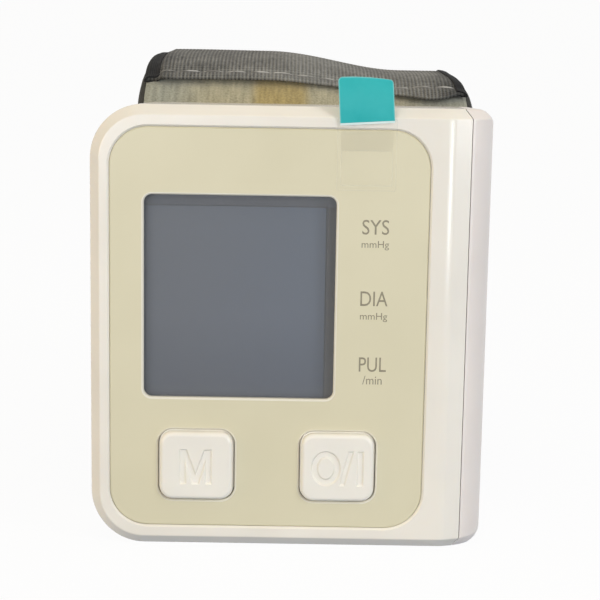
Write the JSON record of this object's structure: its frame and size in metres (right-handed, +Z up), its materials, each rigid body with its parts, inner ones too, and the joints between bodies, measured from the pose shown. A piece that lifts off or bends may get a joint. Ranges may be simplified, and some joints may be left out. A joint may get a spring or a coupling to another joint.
{
  "type": "wrist blood pressure monitor",
  "caption": "Upright plastic wrist blood pressure monitor with a display window, push buttons, a slide-off battery cover and a closed fabric wrist cuff behind the case.",
  "frame": {"origin": "middle of the flat underside of the case", "axes": "+X to the right of the display, +Y from the display towards the wrist, +Z up"},
  "size_m": [0.0682, 0.1, 0.0823],
  "materials": {
    "ivory_plastic": "moulded ivory plastic, satin",
    "cream_plastic": "cream face sheet, fine matt grain",
    "clear_acrylic": "clear polished acrylic or film",
    "button_plastic": "moulded white plastic, satin",
    "steel": "plated or stamped steel",
    "black_plastic": "black moulded plastic",
    "lcd_glass": "grey reflective liquid crystal glass, switched off",
    "grey_rubber": "soft rubber",
    "board_laminate": "green circuit board laminate",
    "white_plastic": "plain white moulded plastic",
    "cell_jacket": "plain printed cell jacket with bare metal ends",
    "cuff_cloth": "dark grey ribbed woven cloth",
    "lining_cloth": "smooth dark grey lining cloth",
    "binding_tape": "near-black woven binding tape",
    "loop_pile": "beige-grey brushed loop pile",
    "hook_tape": "black hook tape",
    "tab_film": "teal plastic film"
  },
  "bodies": {
    "case": {"front_cover": "ivory_plastic", "rear_cover": "ivory_plastic", "face_plate": "cream_plastic", "display_window": "clear_acrylic", "memory_switch": "steel", "power_switch": "steel", "lcd_panel": "lcd_glass", "lcd_holder": "black_plastic", "lcd_connector": "grey_rubber", "main_board": "board_laminate", "controller_chip": "black_plastic", "buzzer": "black_plastic", "pressure_sensor": "black_plastic", "exhaust_valve": "steel", "air_manifold": "white_plastic", "pump_motor": "steel", "pump_sleeve": "grey_rubber", "pump_head": "black_plastic", "pump_tube": "grey_rubber", "valve_tube": "grey_rubber", "battery_tray": "ivory_plastic", "battery_front": "cell_jacket", "battery_rear": "cell_jacket", "positive_terminal": "steel", "negative_terminal": "steel", "bridge_contact": "steel", "bridge_spring": "steel", "negative_spring": "steel", "case_screw_lower_left": "steel", "case_screw_upper_left": "steel", "case_screw_lower_right": "steel", "case_screw_upper_right": "steel", "anchor_screw_lower_left": "steel", "anchor_screw_upper_left": "steel", "anchor_screw_lower_right": "steel", "anchor_screw_upper_right": "steel", "cuff_cover": "cuff_cloth", "cuff_anchor": "black_plastic", "cuff_stiffener": "white_plastic", "air_bladder": "grey_rubber", "cuff_lining": "lining_cloth", "cuff_binding_left": "binding_tape", "cuff_binding_right": "binding_tape", "loop_panel": "loop_pile", "protective_film": "clear_acrylic", "film_tab": "tab_film"},
    "memory_key": {"memory_button": "button_plastic", "memory_plunger": "black_plastic"},
    "power_key": {"power_button": "button_plastic", "power_plunger": "black_plastic"},
    "battery_lid": {"battery_cover": "ivory_plastic"},
    "tail": {"cuff_tail": "cuff_cloth", "hook_patch": "hook_tape"}
  },
  "joints": [
    {"name": "memory_press", "type": "slide", "parent": "case", "child": "memory_key", "axis": [0, 1, 0], "range_m": [0, 0.0006], "stiffness_N_per_m": 2000},
    {"name": "power_press", "type": "slide", "parent": "case", "child": "power_key", "axis": [0, 1, 0], "range_m": [0, 0.0006], "stiffness_N_per_m": 2000},
    {"name": "lid_pull", "type": "slide", "parent": "case", "child": "battery_lid", "axis": [1, 0, 0], "range_m": [0, 0.03]},
    {"name": "tail_peel", "type": "hinge", "parent": "case", "child": "tail", "pos_m": [0, 0.08047, 0.02079], "axis": [-1, 0, 0], "range_deg": [0, 90]}
  ]
}
